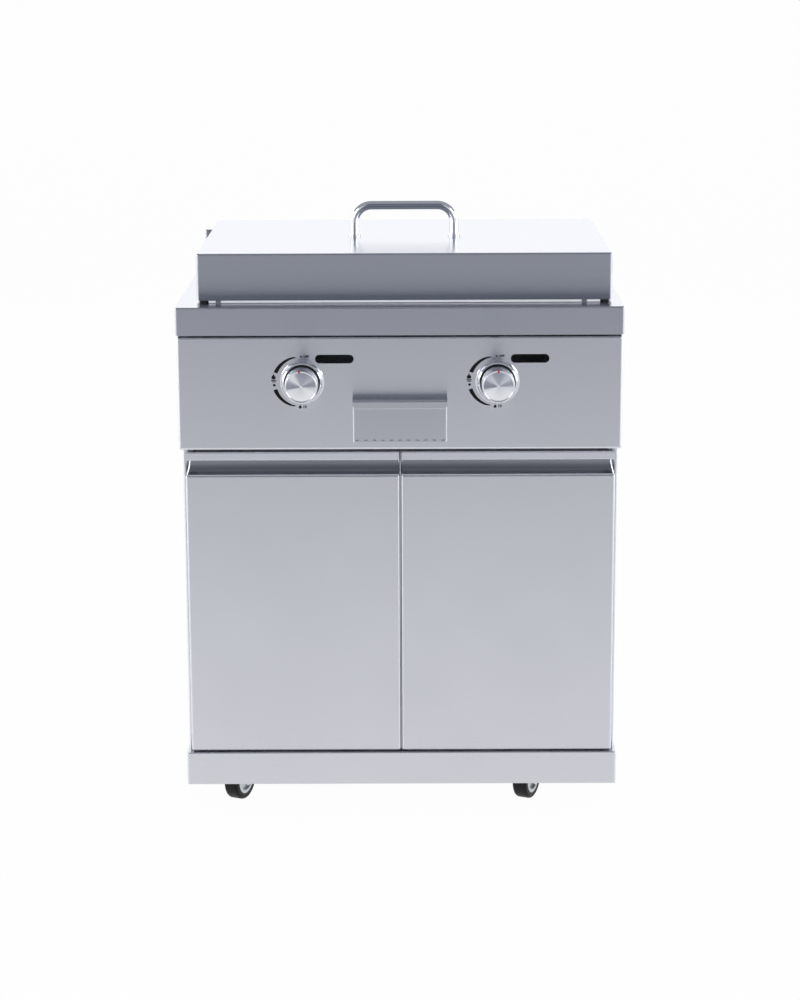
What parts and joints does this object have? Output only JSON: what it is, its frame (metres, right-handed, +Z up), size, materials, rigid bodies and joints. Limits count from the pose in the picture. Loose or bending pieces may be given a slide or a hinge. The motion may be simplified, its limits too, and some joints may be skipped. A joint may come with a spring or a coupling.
{
  "type": "teppanyaki grill module",
  "caption": "Wheeled stainless outdoor-kitchen module with a gas griddle in the worktop, loose box lid, knobs, grease drawer and a storage cabinet with doors.",
  "frame": {"origin": "on the floor, at the middle of the overall width and depth", "axes": "+Z up, -Y towards the user at the front, +X to the user's right"},
  "size_m": [0.76, 0.648, 1.0589],
  "materials": {
    "brushed_stainless": "brushed along the sheet",
    "mill_stainless": "mill finish",
    "polished_chrome": "polished",
    "zinc_plated_steel": "bright zinc plate",
    "tyre_rubber": "matt",
    "foot_rubber": "matt",
    "griddle_steel": "ground plate",
    "valve_brass": "machined",
    "black_plastic": "fine grain",
    "glazed_ceramic": "glazed",
    "nylon": "moulded"
  },
  "bodies": {
    "cabinet": {"base_plinth": "brushed_stainless", "caster_rails": "zinc_plated_steel", "left_side_panel": "brushed_stainless", "right_side_panel": "brushed_stainless", "back_panel": "brushed_stainless", "ceiling_shelf": "mill_stainless", "magnet_catches": "black_plastic", "door_pins": "mill_stainless", "worktop": "brushed_stainless", "rear_upstand": "brushed_stainless", "control_panel": "brushed_stainless", "knob_bezels": "polished_chrome", "drawer_runners": "mill_stainless", "hob_tub": "brushed_stainless", "griddle_plate": "griddle_steel", "hob_brackets": "mill_stainless", "grease_chute": "mill_stainless", "burners": "mill_stainless", "igniter_electrodes": "glazed_ceramic", "gas_manifold": "mill_stainless", "gas_inlet": "mill_stainless", "gas_valves": "valve_brass", "caster_plates": "zinc_plated_steel", "caster_bolts": "zinc_plated_steel"},
    "lid": {"lid_roof": "brushed_stainless", "lid_band": "brushed_stainless", "lid_handle": "polished_chrome", "handle_collars": "polished_chrome", "handle_screws": "mill_stainless", "lid_feet": "foot_rubber"},
    "grease_drawer": {"drawer_tray": "brushed_stainless", "drawer_front": "brushed_stainless"},
    "left_door": {"left_door_skin": "brushed_stainless", "left_door_pull": "brushed_stainless", "left_door_liner": "mill_stainless", "left_door_bushes": "nylon"},
    "left_plug": {"left_valve_plug": "valve_brass"},
    "left_knob": {"left_knob_cap": "polished_chrome", "left_knob_skirt": "black_plastic", "left_knob_stem": "mill_stainless"},
    "right_door": {"right_door_skin": "brushed_stainless", "right_door_pull": "brushed_stainless", "right_door_liner": "mill_stainless", "right_door_bushes": "nylon"},
    "right_plug": {"right_valve_plug": "valve_brass"},
    "right_knob": {"right_knob_cap": "polished_chrome", "right_knob_skirt": "black_plastic", "right_knob_stem": "mill_stainless"},
    "front_left_swivel": {"front_left_fork": "zinc_plated_steel"},
    "front_left_wheel": {"front_left_hub": "zinc_plated_steel", "front_left_tyre": "tyre_rubber"},
    "front_right_swivel": {"front_right_fork": "zinc_plated_steel"},
    "front_right_wheel": {"front_right_hub": "zinc_plated_steel", "front_right_tyre": "tyre_rubber"},
    "rear_left_swivel": {"rear_left_fork": "zinc_plated_steel"},
    "rear_left_wheel": {"rear_left_hub": "zinc_plated_steel", "rear_left_tyre": "tyre_rubber"},
    "rear_right_swivel": {"rear_right_fork": "zinc_plated_steel"},
    "rear_right_wheel": {"rear_right_hub": "zinc_plated_steel", "rear_right_tyre": "tyre_rubber"}
  },
  "joints": [
    {"name": "lid_lift", "type": "slide", "parent": "cabinet", "child": "lid", "axis": [0, 0, 1], "range_m": [0, 0.3]},
    {"name": "drawer_slide", "type": "slide", "parent": "cabinet", "child": "grease_drawer", "axis": [0, -1, 0], "range_m": [0, 0.2]},
    {"name": "left_door_hinge", "type": "hinge", "parent": "cabinet", "child": "left_door", "pos_m": [-0.359, -0.2465, 0.388], "axis": [0, 0, -1], "range_deg": [0, 110]},
    {"name": "left_knob_turn", "type": "hinge", "parent": "cabinet", "child": "left_plug", "pos_m": [-0.166, -0.272, 0.782], "axis": [0, -1, 0], "range_deg": [0, 180]},
    {"name": "left_knob_push", "type": "slide", "parent": "left_plug", "child": "left_knob", "axis": [0, 1, 0], "range_m": [0, 0.004], "stiffness_N_per_m": 1500},
    {"name": "right_door_hinge", "type": "hinge", "parent": "cabinet", "child": "right_door", "pos_m": [0.359, -0.2465, 0.388], "axis": [0, 0, 1], "range_deg": [0, 110]},
    {"name": "right_knob_turn", "type": "hinge", "parent": "cabinet", "child": "right_plug", "pos_m": [0.166, -0.272, 0.782], "axis": [0, -1, 0], "range_deg": [0, 180]},
    {"name": "right_knob_push", "type": "slide", "parent": "right_plug", "child": "right_knob", "axis": [0, 1, 0], "range_m": [0, 0.004], "stiffness_N_per_m": 1500},
    {"name": "front_left_swivel_turn", "type": "hinge", "parent": "cabinet", "child": "front_left_swivel", "pos_m": [-0.274, -0.1275, 0.09], "axis": [0, 0, 1], "continuous": true},
    {"name": "front_left_wheel_roll", "type": "hinge", "parent": "front_left_swivel", "child": "front_left_wheel", "pos_m": [-0.29217, -0.16647, 0.0375], "axis": [0.9063, -0.4226, 0], "continuous": true},
    {"name": "front_right_swivel_turn", "type": "hinge", "parent": "cabinet", "child": "front_right_swivel", "pos_m": [0.244, -0.1275, 0.09], "axis": [0, 0, 1], "continuous": true},
    {"name": "front_right_wheel_roll", "type": "hinge", "parent": "front_right_swivel", "child": "front_right_wheel", "pos_m": [0.22583, -0.16647, 0.0375], "axis": [0.9063, -0.4226, 0], "continuous": true},
    {"name": "rear_left_swivel_turn", "type": "hinge", "parent": "cabinet", "child": "rear_left_swivel", "pos_m": [-0.274, 0.164, 0.09], "axis": [0, 0, 1], "continuous": true},
    {"name": "rear_left_wheel_roll", "type": "hinge", "parent": "rear_left_swivel", "child": "rear_left_wheel", "pos_m": [-0.30164, 0.19694, 0.0375], "axis": [-0.766, -0.6428, 0], "continuous": true},
    {"name": "rear_right_swivel_turn", "type": "hinge", "parent": "cabinet", "child": "rear_right_swivel", "pos_m": [0.244, 0.164, 0.09], "axis": [0, 0, 1], "continuous": true},
    {"name": "rear_right_wheel_roll", "type": "hinge", "parent": "rear_right_swivel", "child": "rear_right_wheel", "pos_m": [0.2655, 0.20124, 0.0375], "axis": [-0.866, 0.5, 0], "continuous": true}
  ]
}
